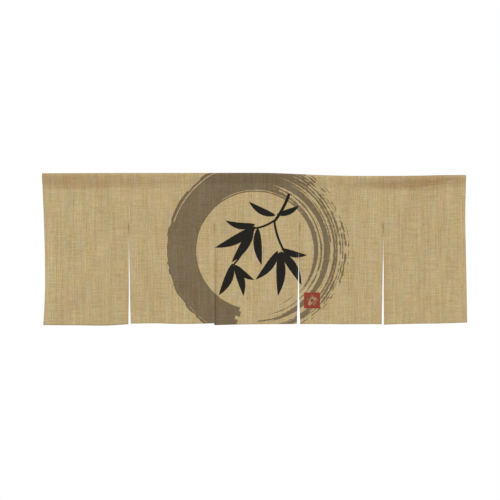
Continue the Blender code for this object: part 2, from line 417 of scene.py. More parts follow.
def panel_lines(panel):
    """A panel's grid from its turned-over end to its hem, as (across, depth, height, flat place)."""
    left, right = heading_ends(panel)
    across = left + column_share * (right - left) + column_inset
    depth, height, place = heading_lines(across)
    across = np.broadcast_to(across, depth.shape).copy()
    # The front's small creases go through the cloth behind it, and fade out up the sleeve's back
    row = np.arange(len(depth))[:, None]
    up_the_back = np.clip((row - TURNING_ROWS) / BACK_ROWS, 0, 1)
    crest_row = TURNING_ROWS + BACK_ROWS + CREST_ROWS / 2
    creased = np.where(row > crest_row, 1.0, 1 - eased(up_the_back * 2))
    depth = depth + creased * crease_depth(across, height)

    left, right = panel_sides(panel, SLEEVE_FOOT)
    tucked_left, tucked_right = panel_sides(panel, TURNED_FOOT)
    tucked_left, tucked_right = tucked_left + TURNED_INSET, tucked_right - TURNED_INSET
    across[:TURNING_ROWS] = tucked_left + column_share * (tucked_right - tucked_left) + column_inset
    at_top = left + column_share * (right - left) + column_inset
    hem = smooth_through(panel.hem, (at_top - left) / (right - left))
    top = stitch_line(at_top)
    hem_top = hem + BOTTOM_HEM
    plain = top + down_panel * (hem_top + HEM_STEP - top)
    hung = np.concatenate([plain, hem_top + in_hem * (hem - hem_top)])
    left, right = panel_sides(panel, hung)
    hung_across = left + column_share * (right - left) + column_inset
    hung_depth = front_depth(panel, hung_across, hung)
    return (
        np.concatenate([across, hung_across]),
        np.concatenate([depth, hung_depth]),
        np.concatenate([height, hung]),
        np.concatenate([place, hung]),
    )


LOW_FROM = 17.0  # the sleeve's darker foot, painted shade on its down-facing flank, starts this far below the top edge
TAIL_SOFT = 5.0
# A side hem's painted shade: how far in it reaches and how softly, where it starts and over what height
# it grows
HEM_TONE_REACH = 17.0
HEM_TONE_SOFT = 9.0
HEM_TONE_TOP = -240.0
HEM_TONE_FULL = 170.0


def doubled_tone_and_painted_shade(panel, across, height):
    """How much darker the front looks for the cloth that lies behind it, with painted shade low on the
    sleeve and along turned sides, and painted shade and light in patches.
    """
    drop = top_edge(across) - height
    here = [along_table(DOUBLED_AND_PAINTED_SHADE, name, across) for name in DoubledAndPaintedShade._fields[1:]]
    crest, low, tail, step, foot, soft = here
    tone = crest + (low - crest) * eased((drop - LOW_FROM) / (step - LOW_FROM))
    tone += (tail - tone) * eased((drop - step) / TAIL_SOFT)
    tone *= eased((foot + soft / 2 - drop) / soft)
    left, right = panel_sides(panel, height)
    # Painted shade along a turned side that swings back or lies in its neighbour's shadow
    for side_tone, off in ((panel.left_tone, across - left), (panel.right_tone, right - across)):
        hemmed = eased((HEM_TONE_REACH - off) / HEM_TONE_SOFT)
        hemmed *= eased((HEM_TONE_TOP - height) / HEM_TONE_FULL)
        tone += side_tone * hemmed
    for patch in PATCHES:
        off = ((across - patch.across) / patch.reach_across) ** 2
        tone += patch.tone * np.exp(-off - ((height - patch.height) / patch.reach_down) ** 2)
    return tone


EDGE_REACH = 4.0  # the shade on a turned side ends this far in
FOOT_REACH = 8.0
SIDE_SHADE = 0.05
# At the top of a slit its edges still touch, in a shaded groove
Groove = namedtuple("Groove", "height shade")
GROOVE = [Groove(-262, 0.0), Groove(-240, 0.19), Groove(-202, 0.24), Groove(-196, 0.0)]


def edge_shade(panel, across, height):
    """The share of light lost where a turned edge rolls back: at slits, sides and the foot."""
    left, right = panel_sides(panel, height)
    groove = np.clip(smooth_through(GROOVE, height), 0, 1)
    freed = SIDE_SHADE * eased(below(SLIT_TOP, height, SWUNG_BY))
    hem = smooth_through(panel.hem, np.clip((across - left) / (right - left), 0, 1))
    shade = panel.foot_shade * eased((FOOT_REACH - (height - hem)) / FOOT_REACH)
    for at_slit, off in ((panel.number > 1, across - left), (panel.number < len(PANELS), right - across)):
        side = groove + freed if at_slit else SIDE_SHADE
        shade = np.maximum(shade, side * eased((EDGE_REACH - off) / EDGE_REACH))
    return shade


# The side hems lie flat where the turned-over cloth is stitched down on them
PRESSED_BELOW = 4.0  # its end
PRESSED_ABOVE = 12.0  # the stitch line
TURNED_FROM = radians(70)  # edges that turn by more than this are rounded
SMOOTH_UNDER = radians(25)


def hang_panel(panel):
    """Lays a grid on the panel's lines, and gives it its thickness and turned edges."""
    across, depth, height, flat = panel_lines(panel)
    rows, columns = across.shape[0] - 1, across.shape[1] - 1
    bpy.ops.object.select_all(action="DESELECT")
    bpy.ops.mesh.primitive_grid_add(x_subdivisions=columns, y_subdivisions=rows, size=2.0)
    cloth = bpy.context.object
    cloth.name = "cloth_" + str(panel.number)
    mesh = cloth.data
    spots = np.zeros(len(mesh.vertices) * 3, np.float32)
    mesh.vertices.foreach_get("co", spots)
    spots = spots.reshape(-1, 3)
    column = np.rint((spots[:, 0] + 1) / 2 * columns).astype(int)
    row = np.rint((1 - spots[:, 1]) / 2 * rows).astype(int)
    places = np.stack([lines[row, column] for lines in (across, depth, height)], axis=1) * MM
    mesh.vertices.foreach_set("co", places.astype(np.float32).ravel())

    corners = np.zeros(len(mesh.loops), np.int32)
    mesh.loops.foreach_get("vertex_index", corners)
    on_flat = np.stack([across[row, column], flat[row, column]], axis=1) * MM
    for layer in list(mesh.uv_layers):
        mesh.uv_layers.remove(layer)
    mesh.uv_layers.new(name="cloth")
    mesh.uv_layers["cloth"].uv.foreach_set("vector", on_flat[corners].astype(np.float32).ravel())
    for name, lines in (
        ("doubled_and_painted_shade", doubled_tone_and_painted_shade(panel, across, height)),
        ("edge_shade", edge_shade(panel, across, height)),
    ):
        mesh.attributes.new(name, "FLOAT", "POINT")
        mesh.attributes[name].data.foreach_set("value", lines[row, column].astype(np.float32))

    turned_end = top_edge(across) - along_table(DOUBLED_AND_PAINTED_SHADE, "foot", across)
    pressed = height > turned_end - PRESSED_BELOW
    pressed &= height < stitch_line(across) + PRESSED_ABOVE
    at_side = (column <= SIDE_COLUMNS) | (column >= columns - SIDE_COLUMNS)
    at_side &= ~pressed[row, column]
    turned = at_side | (row >= rows - HEM_ROWS) | (row < TURNING_ROWS)
    thick = cloth.vertex_groups.new(name="hems")
    thick.add([int(i) for i in np.flatnonzero(turned)], 1.0, "REPLACE")
    thick.add([int(i) for i in np.flatnonzero(~turned)], CLOTH_THICK / HEM_THICK, "REPLACE")
    solid = cloth.modifiers.new("cloth", "SOLIDIFY")
    solid.thickness = HEM_THICK * MM
    solid.offset = -1.0
    solid.vertex_group = thick.name
    solid.material_offset = 1
    rounding = cloth.modifiers.new("turned edges", "BEVEL")
    rounding.width = TURNED_ROUND * MM
    rounding.segments = 2
    rounding.limit_method = "ANGLE"
    rounding.angle_limit = TURNED_FROM
    bpy.ops.object.modifier_apply(modifier=solid.name)
    bpy.ops.object.modifier_apply(modifier=rounding.name)
    bpy.ops.object.shade_smooth_by_angle(angle=SMOOTH_UNDER)
    return cloth


# Its seams and hems are sewn with a matching spun thread, in stitches 2.6 mm long with a small gap
# between them, which show the same on both sides of the cloth
STITCH_LENGTH = 2.6
STITCH_PITCH = 3.6
STITCH_SIDES = 5
STITCH_END = STITCH_LENGTH / 4  # each end narrows over this length
END_NARROWED = 0.5
THREAD_RADIUS = 0.22
SUNK_BY = 0.04
SEWN_FROM_END = 1.0
SEWN_FROM_SIDE = 8.5
SEWN_FROM_FOOT = 23.0
SEWN_FROM_SEAM_END = 4.0
THREAD_SMOOTH_UNDER = radians(60)
LINE_POINTS = 200
SIDE_POINTS = 240
bpy.ops.object.select_all(action="DESELECT")
bpy.ops.mesh.primitive_cylinder_add(
    vertices=STITCH_SIDES, radius=THREAD_RADIUS, depth=STITCH_LENGTH - 2 * STITCH_END
)
one_stitch = bpy.context.object
one_stitch.name = "one_stitch"
for end in (-1, 1):
    bpy.ops.object.mode_set(mode="OBJECT")
    for face in one_stitch.data.polygons:
        face.select = face.normal.z * end > 0.9
    bpy.ops.object.mode_set(mode="EDIT")
    bpy.ops.mesh.select_mode(type="FACE")
    bpy.ops.mesh.extrude_region_move(TRANSFORM_OT_translate={"value": (0, 0, end * STITCH_END)})
    bpy.ops.transform.resize(value=(END_NARROWED, END_NARROWED, END_NARROWED))
bpy.ops.object.mode_set(mode="OBJECT")
stitch_spots = np.array([spot.co[:] for spot in one_stitch.data.vertices])
stitch_faces = [list(face.vertices) for face in one_stitch.data.polygons]
bpy.data.objects.remove(one_stitch)


def sewn_lines(panel):
    """The panel's lines of stitches, as (across, depth, height, facing: -1 is the front)."""
    left, right = heading_ends(panel)
    across = np.linspace(left + SEWN_FROM_END, right - SEWN_FROM_END, LINE_POINTS)
    stitched = stitch_line(across)
    creased = crease_depth(across, stitched)
    lines = [(across, FRONT_FACE + creased, stitched, -1), (across, BACK_FACE + creased, stitched, 1)]

    left, right = panel_sides(panel, HEM_LEVEL)
    share = np.linspace(0, 1, LINE_POINTS)
    sewn = smooth_through(panel.hem, share) + SEWN_FROM_FOOT
    across = left + SEWN_FROM_END + share * (right - left - 2 * SEWN_FROM_END)
    depth = front_depth(panel, across, sewn)
    lines += [(across, depth, sewn, -1), (across, depth + HEM_THICK, sewn, 1)]

    for side, inwards, at_slit in ((0, 1, panel.number > 1), (1, -1, panel.number < len(PANELS))):
        top = SLIT_TOP - SEWN_FROM_SEAM_END if at_slit else SLEEVE_FOOT - BOTTOM_HEM
        height = np.linspace(top, panel.hem[-side].height + SEWN_FROM_FOOT, SIDE_POINTS)
        across = panel_sides(panel, height)[side] + inwards * SEWN_FROM_SIDE
        depth = front_depth(panel, across, height)
        lines += [(across, depth, height, -1), (across, depth + HEM_THICK, height, 1)]
    return lines


def sew(panel):
    """Copies the one stitch along all of a panel's lines, as one piece."""
    spots, faces = [], []
    for across, depth, height, facing in sewn_lines(panel):
        line = np.stack([np.broadcast_to(part, across.shape) for part in (across, depth, height)], axis=1)
        run = np.concatenate([[0], np.cumsum(np.linalg.norm(np.diff(line, axis=0), axis=1))])
        for middle in np.arange(STITCH_PITCH / 2, run[-1], STITCH_PITCH):
            ends = [
                np.array([np.interp(middle + off, run, part) for part in line.T])
                for off in (-STITCH_LENGTH / 2, STITCH_LENGTH / 2)
            ]
            along = (ends[1] - ends[0]) / np.linalg.norm(ends[1] - ends[0])
            outwards = np.array([0, facing, 0]) - facing * along[1] * along
            outwards /= np.linalg.norm(outwards)
            aside = np.cross(outwards, along)
            centre = (ends[0] + ends[1]) / 2 - outwards * SUNK_BY
            start = len(spots)
            spots.extend(centre + stitch_spots @ np.stack([aside, outwards, along]))
            faces.extend([start + corner for corner in face] for face in stitch_faces)
    mesh = bpy.data.meshes.new("stitching_" + str(panel.number))
    mesh.from_pydata([tuple(spot * MM) for spot in spots], [], faces)
    stitching = bpy.data.objects.new(mesh.name, mesh)
    bpy.context.scene.collection.objects.link(stitching)
    bpy.ops.object.select_all(action="DESELECT")
    stitching.select_set(True)
    bpy.context.view_layer.objects.active = stitching
    bpy.ops.object.mode_set(mode="EDIT")
    bpy.ops.mesh.select_all(action="SELECT")
    bpy.ops.mesh.normals_make_consistent(inside=False)
    bpy.ops.object.mode_set(mode="OBJECT")
    bpy.ops.object.shade_smooth_by_angle(angle=THREAD_SMOOTH_UNDER)
    return stitching


# Which output holds a distance or length, an attribute's value and the place in the object
LENGTH_OUT = 1
VALUE_OUT = 2
OBJECT_OUT = 3


def node(tree, kind, *values, out=0, **settings):
    """A new shader node. `values` go to its inputs in turn, linked where they are sockets."""
    made = tree.nodes.new(kind)
    for name, value in settings.items():
        setattr(made, name, value)
    for socket, value in zip(made.inputs, values):
        feed(tree, socket, value)
    return made.outputs[out]


def feed(tree, socket, value):
    if isinstance(value, bpy.types.NodeSocket):
        tree.links.new(value, socket)
    elif value is not None:
        socket.default_value = value


def sums(tree, operation, *values):
    return node(tree, "ShaderNodeMath", *values, operation=operation)


def product(tree, first, *others):
    for other in others:
        first = sums(tree, "MULTIPLY", first, other)
    return first


def vectors(tree, operation, *values, out=0):
    return node(tree, "ShaderNodeVectorMath", *values, operation=operation, out=out)


def parts_of(tree, vector):
    """The x, y and z of a vector."""
    made = tree.nodes.new("ShaderNodeSeparateXYZ")
    tree.links.new(vector, made.inputs[0])
    return made.outputs


def noise(tree, place, lumps, detail=2.0, roughness=0.5):
    """Noise from 0 to 1 with this many lumps each way in a unit of `place`."""
    made = tree.nodes.new("ShaderNodeTexNoise")
    stretched = vectors(tree, "MULTIPLY_ADD", place, lumps, (0.0, 0.0, sum(lumps)))
    tree.links.new(stretched, made.inputs["Vector"])
    made.inputs["Scale"].default_value = 1.0
    made.inputs["Detail"].default_value = detail
    made.inputs["Roughness"].default_value = roughness
    return made.outputs[0]


def between(tree, value, low, high, to_low=0.0, to_high=1.0):
    """The value's way from low to high, held at the ends, as to_low to to_high."""
    return node(tree, "ShaderNodeMapRange", value, low, high, to_low, to_high)


# Where a mixer of colours has its share, its two colours and its result
MIX_SHARE, MIX_FIRST, MIX_SECOND, MIX_RESULT = 0, 6, 7, 2


def blended(tree, share, first, second, mode="MIX"):
    """Two colours mixed, with `share` of the second."""
    mixer = tree.nodes.new("ShaderNodeMix")
    mixer.data_type = "RGBA"
    mixer.blend_type = mode
    feed(tree, mixer.inputs[MIX_SHARE], share)
    feed(tree, mixer.inputs[MIX_FIRST], first)
    feed(tree, mixer.inputs[MIX_SECOND], second)
    return mixer.outputs[MIX_RESULT]


def shader_group(name, inputs, outputs):
    """A new node group: its tree, its inputs as sockets to read, and its outputs as sockets to feed."""
    tree = bpy.data.node_groups.new(name, "ShaderNodeTree")
    for way, sockets in (("INPUT", inputs), ("OUTPUT", outputs)):
        for socket_name, kind in sockets.items():
            tree.interface.new_socket(socket_name, in_out=way, socket_type="NodeSocket" + kind)
    return tree, tree.nodes.new("NodeGroupInput").outputs, tree.nodes.new("NodeGroupOutput").inputs


def use_group(tree, group, values):
    """Places a node group, feeds its inputs by name and gives back its outputs."""
    made = tree.nodes.new("ShaderNodeGroup")
    made.node_tree = group
    for name, value in values.items():
        feed(tree, made.inputs[name], value)
    return made.outputs


# Slubbed plain weave: yarns of uneven thickness and shade both ways, each over and under the others in
# turn. Places are metres on the flat cloth.
YARNS_PER_METRE = 900.0
WANDERS = (5.0, 4.0)  # how far the yarns stray from straight, in radians of their wave
CROSSOVER = 0.2  # how gradually one yarn gives way to the other
CRIMP = 0.4  # how much a yarn's height follows the yarn it crosses
# How many lumps each unevenness has in a metre, across and along the cloth
WANDER_LUMPS = (45.0, 45.0, 0.0)
WARP_SLUBS = (370.0, 7.5, 0.0)
WEFT_SLUBS = (12.0, 370.0, 0.0)
WARP_YARNS = (YARNS_PER_METRE, 45.0, 0.0)
WEFT_YARNS = (40.0, YARNS_PER_METRE, 0.0)
THICK_SPOTS = (210.0, 190.0, 0.0)
CLOUDS = (20.0, 7.0, 0.0)
BANDS = (26.0, 3.0, 0.0)
WARP_HUES = (105.0, 7.0, 0.0)
WEFT_HUES = (10.0, 120.0, 0.0)
HUE_PATCHES = (34.0, 15.0, 0.0)
PALE_PATCHES = (28.0, 11.0, 0.0)
weave, given, out = shader_group(
    "slubbed_weave",
    {"Place": "Vector"},
    {"Tone": "Float", "Hue": "Float", "Paleness": "Float", "Height": "Float"},
)
place = given["Place"]
wander = noise(weave, place, WANDER_LUMPS)
strayed = [product(weave, wander, most) for most in WANDERS]
strayed = node(weave, "ShaderNodeCombineXYZ", *strayed)
turns = vectors(weave, "MULTIPLY_ADD", place, (YARNS_PER_METRE * pi, YARNS_PER_METRE * pi, 0.0), strayed)
across_yarns, along_yarns, _ = parts_of(weave, turns)
warp_wave = sums(weave, "SINE", across_yarns)
weft_wave = sums(weave, "SINE", along_yarns)
warp_on_top = between(weave, product(weave, warp_wave, weft_wave), -CROSSOVER, CROSSOVER)
warp_round = sums(weave, "SQRT", sums(weave, "ABSOLUTE", warp_wave))
weft_round = sums(weave, "SQRT", sums(weave, "ABSOLUTE", weft_wave))
warp_hump = product(weave, warp_round, sums(weave, "MULTIPLY_ADD", weft_round, CRIMP, 1 - CRIMP))
weft_hump = product(weave, weft_round, sums(weave, "MULTIPLY_ADD", warp_round, CRIMP, 1 - CRIMP))
hump = node(weave, "ShaderNodeMix", warp_on_top, None, weft_hump, warp_hump)

warp_slub = noise(weave, place, WARP_SLUBS, detail=2.5, roughness=0.65)
weft_slub = noise(weave, place, WEFT_SLUBS, detail=2.5, roughness=0.65)
warp_yarn = noise(weave, place, WARP_YARNS, detail=1.0)
weft_yarn = noise(weave, place, WEFT_YARNS, detail=1.0)
thick_spots = noise(weave, place, THICK_SPOTS)
clouds = noise(weave, place, CLOUDS)
bands = noise(weave, place, BANDS)


def weighed(*parts):
    """The sum of noises from 0 to 1, each counted from its middle and by its weight."""
    total = 0.0
    for part, weight in parts:
        total = sums(weave, "MULTIPLY_ADD", sums(weave, "SUBTRACT", part, 0.5), weight, total)
    return total


HUMP_TONE = 0.26  # painted light on a yarn's raised middle and painted shade in the hollows beside it
TONE_EVENED = -0.19  # brings the tone's middle to zero
warp_tone = weighed((warp_slub, 1.42), (warp_yarn, 1.00), (weft_slub, 0.26))
weft_tone = weighed((weft_slub, 1.25), (weft_yarn, 0.90), (warp_slub, 0.30))
yarn_tone = node(weave, "ShaderNodeMix", warp_on_top, None, weft_tone, warp_tone)
tone = sums(weave, "ADD", yarn_tone, weighed((thick_spots, 0.36), (clouds, 0.22), (bands, 0.15)))
tone = sums(weave, "ADD", tone, sums(weave, "MULTIPLY_ADD", hump, HUMP_TONE, TONE_EVENED))
feed(weave, out["Tone"], tone)
warp_hue = noise(weave, place, WARP_HUES, detail=3.0)
weft_hue = noise(weave, place, WEFT_HUES)
hue_patch = noise(weave, place, HUE_PATCHES)
hue = sums(weave, "MULTIPLY_ADD", hue_patch, 4.4, sums(weave, "ADD", warp_hue, weft_hue))
feed(weave, out["Hue"], between(weave, hue, 2.4, 4.0))
pale_patch = noise(weave, place, PALE_PATCHES)
pale = sums(weave, "MULTIPLY_ADD", pale_patch, 5.0, sums(weave, "SUBTRACT", warp_hue, weft_hue))
feed(weave, out["Paleness"], between(weave, pale, 1.7, 3.3))
thick_yarns = sums(weave, "ADD", warp_slub, weft_slub)
feed(weave, out["Height"], sums(weave, "MULTIPLY_ADD", thick_yarns, 0.5, product(weave, hump, 0.7)))

CLOTH_COLOUR = (0.480, 0.367, 0.190, 1.0)
GREENISH = (0.968, 1.014, 1.020, 1.0)
PINKISH = (1.032, 0.986, 0.980, 1.0)
YELLOWED = (1.006, 1.006, 0.934, 1.0)
PALE = (0.994, 0.994, 1.066, 1.0)
TONE_SHARES = (0.82, 1.02, 1.36)  # how much the tone changes each colour: lighter yarns are paler
DOUBLED_AND_PAINTED_SHADE_TINT = (-0.100, -0.165, -0.190)  # what a second layer behind, and the painted shade laid with it, take from each colour


def cloth_material(name, printing=None):
    """Slubbed cloth. `printing` adds the print's colours to the cloth's, given tree, place and both."""
    material = bpy.data.materials.new(name)
    material.use_nodes = True
    tree = material.node_tree
    shader = tree.nodes["Principled BSDF"]
    place = node(tree, "ShaderNodeUVMap", uv_map="cloth")
    woven = use_group(tree, weave, {"Place": place})
    colour = printing(tree, place, CLOTH_COLOUR) if printing else CLOTH_COLOUR
    for share, low, high in (("Hue", GREENISH, PINKISH), ("Paleness", YELLOWED, PALE)):
        colour = blended(tree, 1.0, colour, blended(tree, woven[share], low, high), "MULTIPLY")
    # The doubled cloth's darkening, with the painted shade and light laid in the same attribute
    doubled_and_painted_shade = node(tree, "ShaderNodeAttribute", attribute_name="doubled_and_painted_shade", out=VALUE_OUT)
    shade = vectors(tree, "MULTIPLY_ADD", doubled_and_painted_shade, DOUBLED_AND_PAINTED_SHADE_TINT, (1.0, 1.0, 1.0))
    toned = vectors(tree, "MULTIPLY_ADD", woven["Tone"], TONE_SHARES, (1.0, 1.0, 1.0))
    shade = vectors(tree, "MULTIPLY", shade, toned)
    at_edge = node(tree, "ShaderNodeAttribute", attribute_name="edge_shade", out=VALUE_OUT)
    shade = vectors(tree, "MULTIPLY", shade, sums(tree, "SUBTRACT", 1.0, at_edge))
    feed(tree, shader.inputs["Base Color"], blended(tree, 1.0, colour, shade, "MULTIPLY"))
    shader.inputs["Roughness"].default_value = 0.9
    shader.inputs["Sheen Weight"].default_value = 0.08
    shader.inputs["Sheen Roughness"].default_value = 0.5
    shader.inputs["Specular IOR Level"].default_value = 0.15
    bump = tree.nodes.new("ShaderNodeBump")
    bump.inputs["Strength"].default_value = 0.6
    bump.inputs["Distance"].default_value = 0.3 * MM
    feed(tree, bump.inputs["Height"], woven["Height"])
    feed(tree, shader.inputs["Normal"], bump.outputs["Normal"])
    return material


THREAD_COLOUR = (0.480, 0.370, 0.198, 1.0)
THREAD_SHADED = (0.415, 0.318, 0.168, 1.0)
TWIST_LUMPS = (900.0, 900.0, 900.0)  # in a metre
thread = bpy.data.materials.new("sewing_thread")
thread.use_nodes = True
tree = thread.node_tree
shader = tree.nodes["Principled BSDF"]
twist = noise(tree, node(tree, "ShaderNodeTexCoord", out=OBJECT_OUT), TWIST_LUMPS)
feed(tree, shader.inputs["Base Color"], blended(tree, twist, THREAD_SHADED, THREAD_COLOUR))
shader.inputs["Roughness"].default_value = 0.7
shader.inputs["Specular IOR Level"].default_value = 0.25


def dress(cloth, panel, front, back):
    """Puts the panel's finish on, attaches it and its stitching to the root body, and hides the model's
    parts that it replaces.
    """
    cloth.data.materials.append(front)
    cloth.data.materials.append(back)
    node_name, heading_name = "panel_" + str(panel.number), "heading_" + str(panel.number)
    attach(cloth, "root")
    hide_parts(node_name, heading_name)
    stitching = sew(panel)
    stitching.data.materials.append(thread)
    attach(stitching, "root")


plain_cloth = cloth_material("plain_cloth")
for panel in (PANELS[0], PANELS[4]):
    dress(hang_panel(panel), panel, plain_cloth, plain_cloth)


# The three middle panels: the same cloth, printed with a broad brushed ring in thin grey-brown ink, a
# spray of bamboo in black and a red stamp. The ink strikes through, so the back shows it fainter.
# Places are in millimetres from the ring's centre.
RING_CENTRE = (13.2 * MM, -306.8 * MM, 0.0)
RING_OUTER = 358.0
HOLE_PLACE = (-9.0, -4.0, 0.0)
HOLE_RADIUS = 236.0
RING_BREADTH = 118.0

# Clumps of bristles: where each runs across the stroke (0 inside, 1 outside), how wide, from where
# to where round the ring (0 at the foot, clockwise), and how much it breaks into dashes
Clump = namedtuple("Clump", "lane width start end dashed")
CLUMPS = [
    Clump(0.060, 0.150, 0.045, 0.880, 0.0),
    Clump(0.215, 0.065, 0.040, 0.980, 0.15),
    Clump(0.390, 0.180, 0.050, 1.010, 0.0),
    Clump(0.515, 0.035, 0.042, 0.860, 0.2),
    Clump(0.620, 0.070, 0.046, 1.010, 0.05),
    Clump(0.700, 0.070, 0.041, 0.985, 0.10),
    Clump(0.800, 0.060, 0.047, 0.975, 0.2),
    Clump(0.880, 0.045, 0.047, 0.970, 0.3),
    Clump(0.965, 0.065, 0.052, 0.940, 0.6),
    Clump(0.690, 0.200, 0.885, 1.020, 0.1),
    Clump(0.010, 0.050, 0.895, 0.965, 0.3),
    Clump(1.045, 0.040, 0.120, 0.270, 0.6),
    Clump(1.035, 0.050, 0.320, 0.460, 0.2),
    Clump(1.060, 0.040, 0.560, 0.820, 1.0),
]
# Fine lines that single bristles leave bare
BARE_LINES = [
    Clump(0.945, 0.046, 0.300, 0.560, 0.1),
    Clump(0.965, 0.030, 0.095, 0.200, 0.1),
    Clump(0.045, 0.024, 0.400, 0.640, 0.0),
    Clump(0.760, 0.018, 0.430, 0.530, 0.3),
]

STAMP_PLACE = (219.0, -204.0, 0.0)
STAMP_HALF = 32.0
STAMP_WORN = 4.0  # how far its edge wanders
PETALS = 5
PETAL_ROUND = 0.6
PETAL_REACH = 12.0
BLOSSOM_WAIST = 11.5
BLOSSOM_HEART = 6.5

Stroke = namedtuple("Stroke", "across height turn length width bow")
LEAVES = [
    Stroke(-12, 92, -152, 180, 38, 12),
    Stroke(-16, 88, -122, 166, 37, 8),
    Stroke(2, 86, -84, 150, 34, -8),
    Stroke(-8, 100, 172, 122, 28, 14),
    Stroke(92, -8, -58, 160, 36, 10),
    Stroke(88, -10, -92, 176, 38, 9),
    Stroke(82, -6, -128, 146, 33, 10),
    Stroke(96, 4, -14, 108, 27, -10),
    Stroke(72, 136, 152, 120, 28, 10),
    Stroke(78, 140, 22, 98, 25, -8),
    Stroke(-92, -60, -74, 132, 32, 9),
    Stroke(-98, -56, -114, 140, 35, 9),
    Stroke(-88, -62, -38, 98, 25, -8),
]
STEMS = [
    Stroke(128, 224, -118, 126, 13.0, 5),
    Stroke(68, 116, -72, 128, 10.0, -7),
    Stroke(68, 116, -158, 84, 9.5, 5),
    Stroke(-10, 92, -119, 176, 8.5, 9),
]
# How a stroke's width falls to its root and its tip: the higher, the sooner
LEAF_TAPER = (0.70, 0.95)
STEM_TAPER = (0.04, 0.06)

bristles, given, out = shader_group(
    "bristle_clump",
    {"Lane": "Float", "Way": "Float", "Spread": "Float", "Fray": "Float", "Dashes": "Float"}
    | {"Middle": "Float", "Half Width": "Float", "Start": "Float", "End": "Float", "Dashed": "Float"},
    {"Ink": "Float"},
)
LANE_EDGE = 0.006
WAY_EDGE = 0.0015
RUNS_OUT_OVER = 0.13
RUNS_OUT_TO = 0.25
ENDS_RAGGED = 0.25
left_over = sums(bristles, "SUBTRACT", given["End"], given["Way"])
fading = between(bristles, left_over, 0.0, RUNS_OUT_OVER, RUNS_OUT_TO, 1.0)
half = product(bristles, given["Half Width"], fading)
half = sums(bristles, "ADD", sums(bristles, "ADD", half, given["Spread"]), given["Fray"])
half = sums(bristles, "SUBTRACT", half, product(bristles, given["Dashed"], given["Dashes"]))
off = sums(bristles, "ABSOLUTE", sums(bristles, "SUBTRACT", given["Lane"], given["Middle"]))
body = between(bristles, sums(bristles, "SUBTRACT", half, off), 0.0, LANE_EDGE)
ragged = sums(bristles, "MULTIPLY", given["Fray"], ENDS_RAGGED)
begun = sums(bristles, "SUBTRACT", sums(bristles, "ADD", given["Way"], ragged), given["Start"])
begun = between(bristles, begun, 0.0, WAY_EDGE)
still = between(bristles, sums(bristles, "ADD", left_over, ragged), 0.0, WAY_EDGE)
feed(bristles, out["Ink"], product(bristles, body, begun, still))

stroke, given, out = shader_group(
    "brush_stroke",
    {"Place": "Vector", "Root": "Vector", "Turn": "Float", "Length": "Float", "Half Width": "Float"}
    | {"Bow": "Float", "Root Taper": "Float", "Tip Taper": "Float", "Ragged": "Float"},
    {"Ink": "Float"},
)
away = vectors(stroke, "SUBTRACT", given["Place"], given["Root"])
back_turn = product(stroke, given["Turn"], -1.0)
turned = node(
    stroke, "ShaderNodeVectorRotate", away, (0.0, 0.0, 0.0), None, back_turn, rotation_type="Z_AXIS"
)
along, aside, _ = parts_of(stroke, turned)
along = between(stroke, sums(stroke, "DIVIDE", along, given["Length"]), 0.0, 1.0)
to_tip = sums(stroke, "SUBTRACT", 1.0, along)
arch = product(stroke, along, to_tip, 4.0, given["Bow"])
off = sums(stroke, "ABSOLUTE", sums(stroke, "SUBTRACT", aside, arch))
swell = product(
    stroke,
    sums(stroke, "POWER", along, given["Root Taper"]),
    sums(stroke, "POWER", to_tip, given["Tip Taper"]),
    given["Half Width"],
    given["Ragged"],
)
STROKE_EDGE = 0.8
feed(stroke, out["Ink"], between(stroke, sums(stroke, "SUBTRACT", swell, off), 0.0, STROKE_EDGE))

# How many lumps each unevenness of the ring has in a millimetre across the stroke and once round
LANE_WANDERS = (0.02, 22.0, 0.0)
HAIRS = (0.25, 11.0, 1.0)
FLECKS = (0.40, 150.0, 2.0)
DRYING = (0.09, 3.0, 5.0)
DASHES = (0.06, 70.0, 3.0)
# How much these fray the ring's edges, more as the brush dries and always
HAIR_FRAY = (0.085, 0.015)
FLECK_FRAY = (0.045, 0.020)
figure, given, out = shader_group(
    "brushed_print",
    {"Place": "Vector"},
    {"Ring": "Float", "Pooled": "Float", "Ink": "Float", "Stamp": "Float"},
)
away = vectors(figure, "SUBTRACT", given["Place"], RING_CENTRE)
away = vectors(figure, "MULTIPLY", away, (1 / MM, 1 / MM, 0.0))
aside, up, _ = parts_of(figure, away)
way = sums(figure, "ARCTAN2", product(figure, aside, -1.0), product(figure, up, -1.0))
way = sums(figure, "FRACT", sums(figure, "MULTIPLY_ADD", way, 1 / (2 * pi), 1.0))
from_hole = vectors(figure, "DISTANCE", away, HOLE_PLACE, out=LENGTH_OUT)
inside = sums(figure, "SUBTRACT", from_hole, HOLE_RADIUS)
outside = sums(figure, "SUBTRACT", RING_OUTER, vectors(figure, "LENGTH", away, out=LENGTH_OUT))
lane = sums(figure, "DIVIDE", inside, sums(figure, "ADD", inside, outside))
polar = node(figure, "ShaderNodeCombineXYZ", product(figure, lane, RING_BREADTH), way)
wander = sums(figure, "SUBTRACT", noise(figure, polar, LANE_WANDERS, detail=3.0), 0.5)
lane = sums(figure, "MULTIPLY_ADD", wander, 0.03, lane)
dry = between(figure, way, 0.46, 0.60)
hairs = sums(figure, "SUBTRACT", noise(figure, polar, HAIRS, detail=3.0), 0.5)
flecks = sums(figure, "SUBTRACT", noise(figure, polar, FLECKS), 0.5)
fray = product(figure, hairs, sums(figure, "MULTIPLY_ADD", dry, *HAIR_FRAY))
fray = sums(figure, "MULTIPLY_ADD", flecks, sums(figure, "MULTIPLY_ADD", dry, *FLECK_FRAY), fray)
uneven = noise(figure, polar, DRYING, detail=1.0)
drying = sums(figure, "MULTIPLY_ADD", sums(figure, "SUBTRACT", uneven, 0.5), 0.16, way)
spread = between(figure, drying, 0.450, 0.61, 0.070, 0.0)
dashes = between(figure, noise(figure, polar, DASHES), 0.46, 0.56, 0.0, 0.07)


